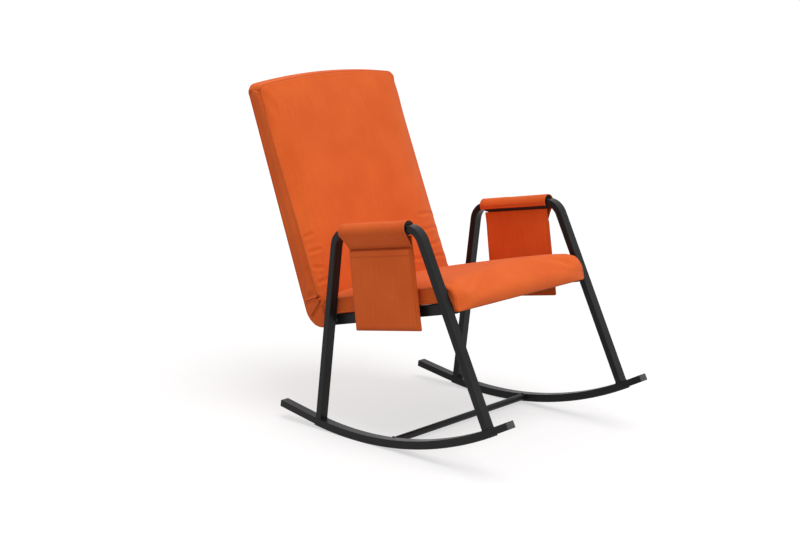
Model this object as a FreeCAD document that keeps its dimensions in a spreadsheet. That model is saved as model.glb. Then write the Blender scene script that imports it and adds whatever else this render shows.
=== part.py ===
import FreeCAD, Part
import Sketcher
import math
import os

# An outdoor rocking chair, in millimetres and degrees. It is drawn level, facing -Y with X across, and then
# leans back about the centre of its rockers to the pose in which it stands on the floor at Z = 0.

doc = FreeCAD.newDocument("RockingChair")
Vector = FreeCAD.Vector

SIZES = {
    # The whole chair
    "OverallWidth": 640.0,
    "RockRadius": 1123.0,
    "RestTilt": 9.25,
    "WeldGap": 0.1,
    # Box tube of the hoops and rockers
    "TubeWide": 30.0,
    "TubeDeep": 20.0,
    "TubeWall": 1.5,
    "TubeCorner": 1.3,
    # Hoops: the legs stand square on the rocker's arc
    "LegAngle": 16.75,
    "ArmHeight": 610.0,
    "HoopBend": 52.0,
    # Rockers: an arc with straight tails, a glide strip below and plugs in the ends
    "TailAngle": 18.5,
    "FrontTail": 45.0,
    "RearTail": 124.0,
    "GlideThick": 3.0,
    "GlideWide": 28.0,
    "GlideAngle": 17.4,
    "PlugCap": 2.5,
    "PlugInsert": 14.0,
    "PlugClearance": 0.2,
    # Stretcher
    "StretcherDiameter": 20.0,
    "StretcherWall": 1.5,
    "StretcherAngle": 2.5,
    # Seat and back frame
    "LegGap": 8.5,
    "SideThick": 20.0,
    "SideTall": 30.0,
    "SideBend": 45.0,
    "SeatHeight": 371.6,
    "SeatPitch": 4.0,
    "BoltToFront": 9.0,
    "BoltToCorner": 92.4,
    "BackRake": 11.3,
    "UprightOver": 17.0,
    "FrontRailSet": 28.0,
    "RearRailRise": 58.0,
    "TopRailRise": 648.0,
    "RailThick": 20.0,
    # Fasteners between the legs and the seat frame
    "BoltDiameter": 8.0,
    "BoltHeadDiameter": 13.0,
    "BoltHeadThick": 4.5,
    "BoltReach": 12.0,
    "BoltClearance": 0.3,
    "NutDiameter": 10.8,
    "NutLength": 13.0,
    "NutFlangeDiameter": 14.0,
    "NutFlangeThick": 1.2,
    "SpacerDiameter": 16.0,
    # Webbing under the foam
    "StrapWide": 50.0,
    "StrapThick": 1.6,
    "StrapFromFront": 66.0,
    "StrapFromCorner": 119.0,
    "StrapFromRear": 72.0,
    "StrapFromTop": 58.0,
    # Upholstery
    "CoverThick": 1.2,
    "CoverGap": 0.4,
    "SeatSideGap": 5.0,
    "SeatBoxing": 45.0,
    "SeatCrown": 12.0,
    "SeatShoulder": 42.0,
    "NoseOver": 15.0,
    "NoseDraw": 8.0,
    "NoseRound": 40.0,
    "NoseDrop": 11.0,
    "LipRound": 2.5,
    "EdgeRound": 12.0,
    "RearRound": 4.0,
    "BackSideGap": 3.0,
    "BackBoxing": 50.0,
    "BackCrown": 32.0,
    "BackCrownTop": 18.0,
    "BackShoulder": 46.0,
    "BackOver": 103.0,
    "BackTopSlope": 22.0,
    "BackArch": 22.0,
    "BackCorner": 18.0,
    "CreaseDraw": 16.0,
    "CreaseRise": 66.0,
    "ChannelSkin": 8.0,
    "ChannelRib": 9.0,
    "TubeRoom": 2.0,
    "CoverReach": 62.0,
    # Arm pads, sleeves and pockets
    "PadRadius": 19.6,
    "PadLength": 228.0,
    "PadClearance": 0.3,
    "SleeveBore": 20.0,
    "SleeveThick": 1.2,
    "SleeveLength": 252.0,
    "SleeveHem": 118.0,
    "PocketHalf": 120.0,
    "PocketFoot": 282.0,
    "PocketMouth": 57.0,
    "PocketDepth": 11.0,
    "PocketSet": 5.6,
    "PocketRim": 8.0,
}
SEAT_STRAPS = 5
BACK_STRAPS = 5
FOAM_CHANNELS = 8
CORNER_CHORDS = 4
SHOULDER_STEPS = 6
MIDDLE_STEPS = 3
SIDES = {"right": -1, "left": 1}

dims = doc.addObject("Spreadsheet::Sheet", "Dims")
for row, (name, value) in enumerate(SIZES.items(), start=1):
    dims.set(f"A{row}", name)
    dims.set(f"B{row}", str(value))
    dims.setAlias(f"B{row}", name)
doc.recompute()

# Places across the chair, measured from its middle
leg_inner = dims.OverallWidth / 2 - dims.TubeWide
side_frame = leg_inner + dims.TubeWide / 2
rail_outer = leg_inner - dims.LegGap
rail_inner = rail_outer - dims.SideThick
seat_half = leg_inner - dims.SeatSideGap
back_half = leg_inner - dims.BackSideGap

# Places up the back, and heights of the pocket under the arm
upright_end = dims.TopRailRise + dims.UprightOver
back_top = dims.TopRailRise + dims.BackOver
pocket_mouth = dims.ArmHeight - dims.PocketMouth
pocket_foot = dims.ArmHeight - dims.PocketFoot

# The lean of the standing chair, about the centre of the rocker's arc
LEAN = FreeCAD.Placement(
    Vector(0, 0, 0), FreeCAD.Rotation(Vector(1, 0, 0), -dims.RestTilt), Vector(0, 0, dims.RockRadius))
pieces = []


def keep(piece, label, place=FreeCAD.Placement()):
    """Names a finished piece and leans it back with the chair, from its place in the level chair."""
    piece.Label = label
    piece.Placement = LEAN.multiply(place)
    pieces.append(piece)


def across(x):
    return FreeCAD.Placement(Vector(x, 0, 0), FreeCAD.Rotation())


def keep_shape(label, shape):
    """Keeps a piece whose form is a loft or a group of turned solids."""
    piece = doc.addObject("Part::Feature", "Piece")
    piece.Shape = shape
    keep(piece, label)


# Points of the level side view, with X backwards and Y up


def on_arc(radius, angle):
    """A point at a radius of the rocker's arc, by its angle behind the arc's lowest point."""
    turn = math.radians(angle)
    return Vector(radius * math.sin(turn), dims.RockRadius - radius * math.cos(turn), 0)


def on_seat(back, up):
    """A point by its place along and above the seat's side tubes."""
    turn = math.radians(dims.SeatPitch)
    rise = dims.SeatHeight - back * math.sin(turn) + up * math.cos(turn)
    return Vector(back * math.cos(turn) + up * math.sin(turn), rise, 0)


def on_back(up, forward):
    """A point by its place along and in front of the uprights, from the corner where they leave the seat."""
    turn = math.radians(dims.BackRake)
    along = Vector(math.sin(turn), math.cos(turn), 0)
    ahead = Vector(-math.cos(turn), math.sin(turn), 0)
    return on_seat(seat_corner, 0) + along * up + ahead * forward


def leg_crossing(side):
    """Where a leg's centre line crosses the seat's side tube: side -1 is the front leg, 1 the rear leg."""
    lean = math.radians(dims.LegAngle)
    pitch = math.radians(dims.SeatPitch)
    drop = dims.RockRadius - dims.SeatHeight
    return on_arc(drop / (math.cos(lean) - side * math.sin(lean) * math.tan(pitch)), side * dims.LegAngle)


# Places along the seat's side tubes, from the bolts in the legs
pitch_share = math.cos(math.radians(dims.SeatPitch))
seat_front = dims.BoltToFront - leg_crossing(-1).x / pitch_share
seat_corner = dims.BoltToCorner + leg_crossing(1).x / pitch_share
cover_end = seat_corner - dims.CoverReach


def meeting(first, first_to, second, second_to):
    """Where two lines of the side view meet, each given by two points."""
    along = first_to - first
    other = second_to - second
    share = (second - first).cross(other).z / along.cross(other).z
    return first + along * share


# Outlines made of lines and arcs


def fillet_arc(before, corner, after, radius):
    """The arc that rounds a corner, as its first, middle and last point."""
    back = (before - corner).normalize()
    ahead = (after - corner).normalize()
    half = back.getAngle(ahead) / 2
    reach = radius / math.tan(half)
    middle = corner + (back + ahead).normalize() * (radius / math.sin(half) - radius)
    return corner + back * reach, middle, corner + ahead * reach


def left_normal(start, end):
    along = (end - start).normalize()
    return Vector(-along.y, along.x, 0)


def open_edges(corners, radii):
    """Lines and arcs along an open path with rounded corners."""
    edges = []
    start = corners[0]
    for before, corner, after, radius in zip(corners, corners[1:], corners[2:], radii):
        first, middle, last = fillet_arc(before, corner, after, radius)
        edges.append(Part.LineSegment(start, first))
        edges.append(Part.Arc(first, middle, last))
        start = last
    edges.append(Part.LineSegment(start, corners[-1]))
    return edges


def closed_edges(corners, radii):
    """Lines and arcs round a closed outline with rounded corners."""
    count = len(corners)
    arcs = [fillet_arc(corners[i - 1], corners[i], corners[(i + 1) % count], radii[i]) for i in range(count)]
    edges = []
    for arc, following in zip(arcs, arcs[1:] + arcs[:1]):
        edges.append(Part.Arc(*arc))
        edges.append(Part.LineSegment(arc[2], following[0]))
    return edges


def eased_edges(corners, size):
    """Lines round a closed outline, each of its corners cut off by a narrow bevel."""
    points = []
    for before, corner, after in zip(corners[-1:] + corners[:-1], corners, corners[1:] + corners[:1]):
        for neighbour in (before, after):
            points.append(corner + (neighbour - corner).normalize() * size)
    return [Part.LineSegment(start, end) for start, end in zip(points, points[1:] + points[:1])]


def inset(corners, distance):
    """A closed outline, taken counter-clockwise, moved inwards all round."""
    count = len(corners)
    normals = [left_normal(corners[i], corners[(i + 1) % count]) for i in range(count)]
    moved = []
    for i in range(count):
        spread = normals[i - 1] + normals[i]
        moved.append(corners[i] + spread * (distance / (1 + normals[i - 1].dot(normals[i]))))
    return moved


def inset_radii(corners, radii, distance):
    """The corner radii of an outline that was moved inwards: outer corners tighten, inner ones open."""
    count = len(corners)
    moved = []
    for i in range(count):
        turn = (corners[i] - corners[i - 1]).cross(corners[(i + 1) % count] - corners[i]).z
        change = -distance if turn > 0 else distance
        moved.append(max(radii[i] + change, dims.CoverGap))
    return moved


def band_edges(corners, bend, deep):
    """The outline of a bent tube in side view, its path's bends all of one radius."""
    normals = [left_normal(a, b) for a, b in zip(corners, corners[1:])]
    turns = [a.cross(b).z for a, b in zip(normals, normals[1:])]
    edges = []
    ends = []
    for offset in (deep / 2, -deep / 2):
        moved = [corners[0] + normals[0] * offset]
        for corner, before, after in zip(corners[1:-1], normals, normals[1:]):
            moved.append(corner + (before + after) * (offset / (1 + before.dot(after))))
        moved.append(corners[-1] + normals[-1] * offset)
        edges += open_edges(moved, [bend - math.copysign(offset, turn * offset) for turn in turns])
        ends.append((moved[0], moved[-1]))
    edges.append(Part.LineSegment(ends[0][0], ends[1][0]))
    edges.append(Part.LineSegment(ends[0][1], ends[1][1]))
    return edges


# Bodies drawn in the side view


def new_body():
    return doc.addObject("PartDesign::Body", "Body")


def sketch_in(body, role, edges):
    """A sketch on one of the body's own planes, its touching ends made coincident."""
    plane = next(feature for feature in body.Origin.OriginFeatures if feature.Role == role)
    sketch = body.newObject("Sketcher::SketchObject", "Sketch")
    sketch.AttachmentSupport = [(plane, "")]
    sketch.MapMode = "FlatFace"
    sketch.addGeometry(edges, False)
    ends = [(i, end) for i, edge in enumerate(edges) if not isinstance(edge, Part.Circle) for end in (1, 2)]
    for place, (i, end) in enumerate(ends):
        for other, other_end in ends[place + 1:]:
            if sketch.getPoint(i, end).distanceToPoint(sketch.getPoint(other, other_end)) < 1e-6:
                sketch.addConstraint(Sketcher.Constraint("Coincident", i, end, other, other_end))
    return sketch


def extrude(body, kind, sketch, length, both_ways=True, reverse=False):
    """A pad or pocket whose length is an expression of the sheet's sizes."""
    feature = body.newObject(f"PartDesign::{kind}", kind)
    feature.Profile = sketch
    feature.setExpression("Length", length)
    feature.SideType = "Symmetric" if both_ways else "One side"
    feature.Reversed = reverse
    doc.recompute()


def ease_edges(body, names, size):
    """A narrow chamfer on named edges of the body as it stands."""
    solid = body.Tip
    chamfer = body.newObject("PartDesign::Chamfer", "Chamfer")
    chamfer.Base = (solid, names)
    chamfer.setExpression("Size", size)
    doc.recompute()


def ease_tube_edges(body, wide, deep):
    """Eases the long outer edges of a bent tube, but not its cut ends."""
    names = []
    for index, edge in enumerate(body.Tip.Shape.Edges, start=1):
        box = edge.BoundBox
        in_side = box.XLength < 1e-3 and abs(abs(box.XMin) - wide / 2) < 1e-3
        if in_side and abs(edge.Length - deep) > 1e-3:
            names.append(f"Edge{index}")
    ease_edges(body, names, "Dims.TubeCorner")


def bent_tube(corners, bend, wide_name, deep_name):
    """A hollow box tube bent along a path of the side view."""
    wide = getattr(dims, wide_name)
    deep = getattr(dims, deep_name)
    body = new_body()
    outer = sketch_in(body, "YZ_Plane", band_edges(corners, bend, deep))
    extrude(body, "Pad", outer, f"Dims.{wide_name}")
    first = corners[0] + (corners[0] - corners[1]).normalize() * deep
    last = corners[-1] + (corners[-1] - corners[-2]).normalize() * deep
    through = [first] + corners[1:-1] + [last]
    inner = sketch_in(body, "YZ_Plane", band_edges(through, bend, deep - 2 * dims.TubeWall))
    extrude(body, "Pocket", inner, f"Dims.{wide_name} - 2 * Dims.TubeWall")
    ease_tube_edges(body, wide, deep)
    return body


def drill(body, points, diameter, length, both_ways, reverse=False):
    """Round holes across the tube at points of the side view."""
    circles = [Part.Circle(point, Vector(0, 0, 1), 1.0) for point in points]
    sketch = sketch_in(body, "YZ_Plane", circles)
    for index in range(len(points)):
        number = sketch.addConstraint(Sketcher.Constraint("Diameter", index, 2.0))
        sketch.setExpression(f"Constraints[{number}]", diameter)
    extrude(body, "Pocket", sketch, length, both_ways, reverse)


def cross_tube(place, along, up, deep, tall, length):
    """A straight box tube across the chair, square to the seat or to the back."""
    edges = []
    for wall, corner in ((0.0, dims.TubeCorner), (dims.TubeWall, dims.TubeCorner / 2)):
        half_deep = deep / 2 - wall
        half_tall = tall / 2 - wall
        signs = ((-1, -1), (1, -1), (1, 1), (-1, 1))
        ring = [place(along + a * half_deep, up + b * half_tall) for a, b in signs]
        edges += eased_edges(ring, corner)
    body = new_body()
    extrude(body, "Pad", sketch_in(body, "YZ_Plane", edges), length)
    return body


# Hoops: one tube bent twice makes the front leg, the arm and the rear leg

rocker_top = dims.RockRadius - dims.GlideThick - dims.TubeDeep
shoulder = (dims.RockRadius - dims.ArmHeight) / math.cos(math.radians(dims.LegAngle))
hoop_path = [
    on_arc(rocker_top - dims.WeldGap, -dims.LegAngle),
    on_arc(shoulder, -dims.LegAngle),
    on_arc(shoulder, dims.LegAngle),
    on_arc(rocker_top - dims.WeldGap, dims.LegAngle),
]
bolt_points = [leg_crossing(-1), leg_crossing(1)]
for side, sign in SIDES.items():
    hoop = bent_tube(hoop_path, dims.HoopBend, "TubeWide", "TubeDeep")
    nut_hole = "Dims.NutDiameter + 2 * Dims.BoltClearance"
    drill(hoop, bolt_points, nut_hole, "Dims.TubeWide / 2", both_ways=False, reverse=sign < 0)
    keep(hoop, f"{side}_hoop", across(sign * side_frame))

# Rockers: an arc that runs on straight at both ends

rocker_middle = dims.RockRadius - dims.GlideThick - dims.TubeDeep / 2
tail = math.radians(dims.TailAngle)
forwards = Vector(-math.cos(tail), math.sin(tail), 0)
backwards = Vector(math.cos(tail), math.sin(tail), 0)
front_tip = on_arc(rocker_middle, -dims.TailAngle) + forwards * dims.FrontTail
rear_tip = on_arc(rocker_middle, dims.TailAngle) + backwards * dims.RearTail
rocker_path = [front_tip, on_arc(rocker_middle / math.cos(tail), 0), rear_tip]
for side, sign in SIDES.items():
    rocker = bent_tube(rocker_path, rocker_middle, "TubeWide", "TubeDeep")
    keep(rocker, f"{side}_rocker", across(sign * side_frame))

# Glide strips under the arc, from leg to leg

strip_top = dims.RockRadius - dims.GlideThick + dims.WeldGap
strip_edges = [
    Part.Arc(*[on_arc(strip_top, angle) for angle in (-dims.GlideAngle, 0, dims.GlideAngle)]),
    Part.Arc(*[on_arc(dims.RockRadius, angle) for angle in (-dims.GlideAngle, 0, dims.GlideAngle)]),
    Part.LineSegment(on_arc(strip_top, -dims.GlideAngle), on_arc(dims.RockRadius, -dims.GlideAngle)),
    Part.LineSegment(on_arc(strip_top, dims.GlideAngle), on_arc(dims.RockRadius, dims.GlideAngle)),
]
for side, sign in SIDES.items():
    strip = new_body()
    extrude(strip, "Pad", sketch_in(strip, "YZ_Plane", strip_edges), "Dims.GlideWide")
    keep(strip, f"{side}_glide_strip", across(sign * side_frame))

# Plugs in the rockers' ends: a cap as large as the tube and an insert that fits its bore


def rectangle_edges(half_wide, half_deep, corner):
    signs = ((-1, -1), (1, -1), (1, 1), (-1, 1))
    return eased_edges([Vector(a * half_wide, b * half_deep, 0) for a, b in signs], corner)


def end_plug():
    body = new_body()
    cap = sketch_in(body, "XZ_Plane", rectangle_edges(dims.TubeWide / 2, dims.TubeDeep / 2, dims.TubeCorner))
    extrude(body, "Pad", cap, "Dims.PlugCap", both_ways=False)
    less = dims.TubeWall + dims.PlugClearance
    stem = rectangle_edges(dims.TubeWide / 2 - less, dims.TubeDeep / 2 - less, dims.TubeCorner)
    extrude(body, "Pad", sketch_in(body, "XZ_Plane", stem), "Dims.PlugInsert", both_ways=False, reverse=True)
    rim = [f"Edge{i}" for i, edge in enumerate(body.Tip.Shape.Edges, start=1)
           if abs(edge.BoundBox.YMax + dims.PlugCap) < 1e-3]
    ease_edges(body, rim, "Dims.PlugCap / 2")
    return body


facing_front = FreeCAD.Rotation(Vector(1, 0, 0), -dims.TailAngle)
about_face = FreeCAD.Rotation(Vector(0, 0, 1), 180)
facing_rear = FreeCAD.Rotation(Vector(1, 0, 0), dims.TailAngle).multiply(about_face)
for side, sign in SIDES.items():
    for end, tip, facing in (("front", front_tip, facing_front), ("rear", rear_tip, facing_rear)):
        at_tip = FreeCAD.Placement(Vector(sign * side_frame, tip.x, tip.y), facing)
        keep(end_plug(), f"{side}_{end}_plug", at_tip)

# Stretcher: a round tube between the rockers' inner faces


def cylinder_across(radius, length):
    cylinder = doc.addObject("Part::Cylinder", "Cylinder")
    cylinder.setExpression("Radius", radius)
    cylinder.setExpression("Height", length)
    centre = on_arc(rocker_middle, dims.StretcherAngle)
    turn = FreeCAD.Rotation(Vector(0, 1, 0), 90)
    cylinder.Placement = FreeCAD.Placement(Vector(dims.WeldGap - leg_inner, centre.x, centre.y), turn)
    return cylinder


def cut_pair(base, tool):
    cut = doc.addObject("Part::Cut", "Cut")
    cut.Base = base
    cut.Tool = tool
    doc.recompute()
    return cut


span = "Dims.OverallWidth - 2 * Dims.TubeWide - 2 * Dims.WeldGap"
stretcher_outside = cylinder_across("Dims.StretcherDiameter / 2", span)
stretcher_bore = cylinder_across("Dims.StretcherDiameter / 2 - Dims.StretcherWall", span)
keep(cut_pair(stretcher_outside, stretcher_bore), "stretcher")

# Seat and back frame: each side is one tube that runs along the seat and bends up into the back

side_path = [on_seat(-seat_front, 0), on_seat(seat_corner, 0), on_back(upright_end, 0)]
for side, sign in SIDES.items():
    tube = bent_tube(side_path, dims.SideBend, "SideThick", "SideTall")
    bolt_hole = "Dims.BoltDiameter + 2 * Dims.BoltClearance"
    drill(tube, bolt_points, bolt_hole, "2 * Dims.SideThick", both_ways=True)
    keep(tube, f"{side}_side_tube", across(sign * (rail_outer - dims.SideThick / 2)))

rail_span = "Dims.OverallWidth - 2 * (Dims.TubeWide + Dims.LegGap + Dims.SideThick + Dims.WeldGap)"
front_rail_place = dims.FrontRailSet - seat_front
keep(cross_tube(on_seat, front_rail_place, 0, dims.RailThick, dims.SideTall, rail_span), "front_rail")
keep(cross_tube(on_back, dims.RearRailRise, 0, dims.RailThick, dims.SideTall, rail_span), "rear_rail")
keep(cross_tube(on_back, dims.TopRailRise, 0, dims.RailThick, dims.SideTall, rail_span), "top_rail")

# Bolts from inside the side tubes, through spacers into rivet nuts in the legs' inner walls


def turned(profile, point, sign):
    """A solid turned about a line across the chair: the profile gives places across and radii."""
    corners = [Vector(sign * x, point.x, point.y + radius) for x, radius in profile]
    face = Part.Face(Part.makePolygon(corners + corners[:1]))
    return face.revolve(Vector(0, point.x, point.y), Vector(1, 0, 0), 360)


def turned_set(profile):
    places = [(point, sign) for sign in SIDES.values() for point in bolt_points]
    return Part.makeCompound([turned(profile, point, sign) for point, sign in places])


bolt_radius = dims.BoltDiameter / 2
head_radius = dims.BoltHeadDiameter / 2
head_face = rail_inner - dims.BoltHeadThick
keep_shape("frame_bolts", turned_set([
    (head_face, 0), (head_face, bolt_radius), (head_face + dims.BoltHeadThick / 2, head_radius),
    (rail_inner, head_radius), (rail_inner, bolt_radius),
    (leg_inner + dims.BoltReach, bolt_radius), (leg_inner + dims.BoltReach, 0)]))
nut_bore = bolt_radius + dims.BoltClearance / 2
flange_face = leg_inner - dims.NutFlangeThick
keep_shape("rivet_nuts", turned_set([
    (flange_face, nut_bore), (flange_face, dims.NutFlangeDiameter / 2),
    (leg_inner, dims.NutFlangeDiameter / 2), (leg_inner, dims.NutDiameter / 2),
    (leg_inner + dims.NutLength, dims.NutDiameter / 2), (leg_inner + dims.NutLength, nut_bore)]))
spacer_bore = bolt_radius + dims.BoltClearance
keep_shape("frame_spacers", turned_set([
    (rail_outer, spacer_bore), (rail_outer, dims.SpacerDiameter / 2),
    (flange_face, dims.SpacerDiameter / 2), (flange_face, spacer_bore)]))

# Webbing: flat straps across the side tubes, evenly spaced


def prism(corners, first_x, last_x):
    """A solid with an outline of the side view, between two places across the chair."""
    face = Part.Face(Part.makePolygon([Vector(first_x, c.x, c.y) for c in corners + corners[:1]]))
    return face.extrude(Vector(last_x - first_x, 0, 0))


def box_in_view(place, low, high):
    return [place(low[0], low[1]), place(high[0], low[1]), place(high[0], high[1]), place(low[0], high[1])]


def webbing(place, first, last, count):
    straps = []
    for i in range(count):
        middle = first + (last - first) * i / (count - 1)
        face = dims.SideTall / 2 + dims.WeldGap
        low = (middle - dims.StrapWide / 2, face)
        high = (middle + dims.StrapWide / 2, face + dims.StrapThick)
        straps.append(prism(box_in_view(place, low, high), -rail_outer, rail_outer))
    return Part.makeCompound(straps)


seat_straps = (dims.StrapFromFront - seat_front, seat_corner - dims.StrapFromCorner)
back_straps = (dims.RearRailRise + dims.StrapFromRear, dims.TopRailRise - dims.StrapFromTop)
keep_shape("seat_webbing", webbing(on_seat, *seat_straps, SEAT_STRAPS))
keep_shape("back_webbing", webbing(on_back, *back_straps, BACK_STRAPS))

# Upholstery: side-view outlines lofted across the chair, flat at the sewn sides and swelling from there


def chords_at(x, corners, radii):
    """A closed outline at a place across the chair, each of its round corners in a few chords."""
    points = []
    for arc in closed_edges(corners, radii)[::2]:
        points += [Vector(x, point.x, point.y) for point in arc.discretize(CORNER_CHORDS + 1)]
    return Part.makePolygon(points + points[:1])


def swell(depth, reach):
    """0 at the sewn side and 1 from a reach inside it, along a quarter of a circle."""
    left = max(0.0, 1.0 - depth / reach)
    return math.sqrt(1.0 - left * left)


def side_depths(reach, half):
    """Depths from a sewn side to the middle: equal turns round the shoulder, then equal steps."""
    turns = [math.radians(90) * i / SHOULDER_STEPS for i in range(SHOULDER_STEPS)]
    steps = [reach + (half - reach) * i / MIDDLE_STEPS for i in range(MIDDLE_STEPS + 1)]
    return [reach * (1 - math.cos(turn)) for turn in turns] + steps


def upholstery(outline_at, reach, half, distance):
    """A cushion's solid, moved inwards by a distance: 0 gives the outside of its cover."""
    depths = side_depths(reach, half)
    wires = []
    for sign, row in ((-1, depths), (1, depths[-2::-1])):
        for depth in row:
            outline, radii = outline_at(depth)
            x = sign * (half - depth) * (half - distance) / half
            wires.append(chords_at(x, inset(outline, distance), inset_radii(outline, radii, distance)))
    return Part.makeLoft(wires, True, True)


def seat_outline(depth):
    """The seat's side view at a depth from its sewn side: slab, rounded nose, lip in front of the frame."""
    full = swell(depth, dims.SeatShoulder)
    base = dims.SideTall / 2 + dims.WeldGap + dims.StrapThick + dims.CoverGap
    top = base + dims.SeatBoxing + dims.SeatCrown * full
    front = -seat_front - dims.NoseOver + dims.NoseDraw * (1 - full)
    lip = -seat_front - dims.CoverGap
    rear_low = meeting(on_seat(0, base), on_seat(1, base), *back_front_line())
    rear_high = meeting(on_seat(0, top), on_seat(1, top), *back_front_line())
    gap = on_seat(-dims.CoverGap, 0) - on_seat(0, 0)
    corners = [
        rear_high + gap, on_seat(front, top), on_seat(front, -dims.NoseDrop),
        on_seat(lip, -dims.NoseDrop), on_seat(lip, base), rear_low + gap]
    return corners, [dims.EdgeRound, dims.NoseRound] + [dims.LipRound] * 4


def back_rear():
    """How far the back cover's rear face lies behind the uprights' centre line."""
    return dims.SideTall / 2 + dims.TubeRoom + dims.CoverThick


def back_front_line():
    """The lower front of the back cover, from the frame to the crease."""
    low = on_seat(cover_end, -back_rear())
    high = on_back(dims.CreaseRise, dims.BackBoxing - back_rear() + dims.BackCrown)
    return low, high


def back_outline(depth):
    """The back's side view at a depth from its sewn side, from its top to the frame's lower corner."""
    full = swell(depth, dims.BackShoulder)
    rear = -back_rear() + dims.RearRound * (1 - swell(depth, dims.RearRound))
    seam = dims.BackBoxing - back_rear()
    aside = 1.0 - depth / back_half
    top = back_top - dims.BackArch * aside ** 2 - dims.BackCorner * (1 - swell(depth, dims.BackCorner))
    crease_low, crease_high = back_front_line()
    crease = crease_high - on_back(0, dims.CreaseDraw * (1 - full)) + on_back(0, 0)
    low_rear = meeting(crease_low, on_seat(seat_corner, -back_rear()), on_back(0, rear), on_back(1, rear))
    corners = [
        on_back(top, rear), on_back(top - dims.BackTopSlope, seam + dims.BackCrownTop * full),
        crease, crease_low, low_rear]
    round_corner = dims.SideBend + back_rear()
    return corners, [dims.EdgeRound, dims.EdgeRound, dims.EdgeRound, dims.LipRound, round_corner]


def seat_form(distance):
    return upholstery(seat_outline, dims.SeatShoulder, seat_half, distance)


def back_form(distance):
    return upholstery(back_outline, dims.BackShoulder, back_half, distance)


foam_inside = dims.CoverThick + dims.CoverGap
keep_shape("seat_cover", seat_form(0.0).cut(seat_form(dims.CoverThick)))
keep_shape("seat_foam", seat_form(foam_inside))

# The back's cover is a bag pulled over the frame: the side tubes come out through two slots

back_shell = back_form(0.0).cut(back_form(dims.CoverThick))
room = dims.TubeRoom / 2
slot_low = (cover_end - dims.SideTall, -dims.SideTall / 2 - room)
slot_high = (cover_end + dims.SideTall, dims.SideTall / 2 + room)
slot = box_in_view(on_seat, slot_low, slot_high)
for sign in SIDES.values():
    walls = sorted((sign * (rail_inner - room), sign * (rail_outer + room)))
    back_shell = back_shell.cut(prism(slot, *walls))
keep_shape("back_cover", back_shell)

# The back's foam lies on the webbing and has channels down its rear side

foam_rear = dims.SideTall / 2 + dims.WeldGap + dims.StrapThick + dims.CoverGap
foam_room = box_in_view(on_back, (dims.RearRailRise, foam_rear), (back_top, foam_rear + back_half))
back_block = back_form(foam_inside).common(prism(foam_room, -back_half, back_half))
seam_front = dims.BackBoxing - back_rear()
channel_top = back_top - dims.BackTopSlope - dims.BackShoulder
channel = [
    on_back(0, 0), on_back(channel_top, 0),
    on_back(channel_top, seam_front + dims.BackCrownTop - dims.ChannelSkin),
    on_back(0, seam_front + dims.BackCrown - dims.ChannelSkin)]
pitch = 2 * (back_half - dims.BackShoulder) / FOAM_CHANNELS
for i in range(FOAM_CHANNELS):
    middle = (i + 0.5) * pitch - FOAM_CHANNELS * pitch / 2
    half_wide = (pitch - dims.ChannelRib) / 2
    back_block = back_block.cut(prism(channel, middle - half_wide, middle + half_wide))
keep_shape("back_foam", back_block)

# Arm pads: foam round the arm's straight part, inside the sleeve


def cylinder_on_arm(radius, length_name):
    cylinder = doc.addObject("Part::Cylinder", "Cylinder")
    cylinder.setExpression("Radius", radius)
    cylinder.setExpression("Height", f"Dims.{length_name}")
    start = Vector(0, -getattr(dims, length_name) / 2, dims.ArmHeight)
    cylinder.Placement = FreeCAD.Placement(start, FreeCAD.Rotation(Vector(1, 0, 0), -90))
    return cylinder


for side, sign in SIDES.items():
    bore = doc.addObject("Part::Box", "Box")
    bore.setExpression("Length", "Dims.TubeWide + 2 * Dims.PadClearance")
    bore.setExpression("Width", "Dims.PadLength")
    bore.setExpression("Height", "Dims.TubeDeep + 2 * Dims.PadClearance")
    low = Vector(-dims.TubeWide / 2, -dims.PadLength / 2, dims.ArmHeight - dims.TubeDeep / 2)
    bore.Placement.Base = low - Vector(dims.PadClearance, 0, dims.PadClearance)
    pad = cut_pair(cylinder_on_arm("Dims.PadRadius", "PadLength"), bore)
    keep(pad, f"{side}_arm_pad", across(sign * side_frame))

# Sleeves that turn on the pads, each with a pocket hanging from it

# The cloth starts at a hem low on the arm's inner side and goes over the top to the pocket's back panel

sleeve_radius = dims.SleeveBore + dims.SleeveThick
panel_inner = dims.PocketSet + dims.SleeveThick
to_panel = 180 - math.degrees(math.asin(panel_inner / sleeve_radius))
for side, sign in SIDES.items():
    skin = cylinder_on_arm("Dims.SleeveBore + Dims.SleeveThick", "SleeveLength")
    skin.Angle = 360 - (to_panel - dims.SleeveHem)
    first_edge = to_panel - 90 if sign < 0 else 270 - dims.SleeveHem
    about_arm = FreeCAD.Placement(Vector(), FreeCAD.Rotation(Vector(0, 0, 1), first_edge))
    skin.Placement = skin.Placement.multiply(about_arm)
    hollow = cylinder_on_arm("Dims.SleeveBore", "SleeveLength")
    keep(cut_pair(skin, hollow), f"{side}_arm_sleeve", across(sign * side_frame))


def pocket_panel(x, inner, foot, head, thick):
    """A square panel of the pocket, from a place across to a thickness beyond it."""
    wide = dims.PocketHalf - inner
    corners = [Vector(-wide, foot, 0), Vector(wide, foot, 0), Vector(wide, head, 0), Vector(-wide, head, 0)]
    return prism(corners, *sorted((x, x + thick)))


def pocket_front(sign, inner):
    """The pocket's front as a solid that stands out from the back panel, its outer rim rounded."""
    start = sign * (side_frame - dims.PocketSet)
    stand = sign * (dims.PocketDepth - inner)
    head = pocket_mouth + dims.PocketRim
    block = pocket_panel(start, inner, pocket_foot + inner, head, stand)
    rim = []
    for edge in block.Edges:
        box = edge.BoundBox
        in_front = abs(box.XMin - start - stand) < 1e-3 and box.XLength < 1e-3
        if in_front and box.ZMin < pocket_mouth:
            rim.append(edge)
    return block.makeFillet(dims.PocketRim - inner, rim)


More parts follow.
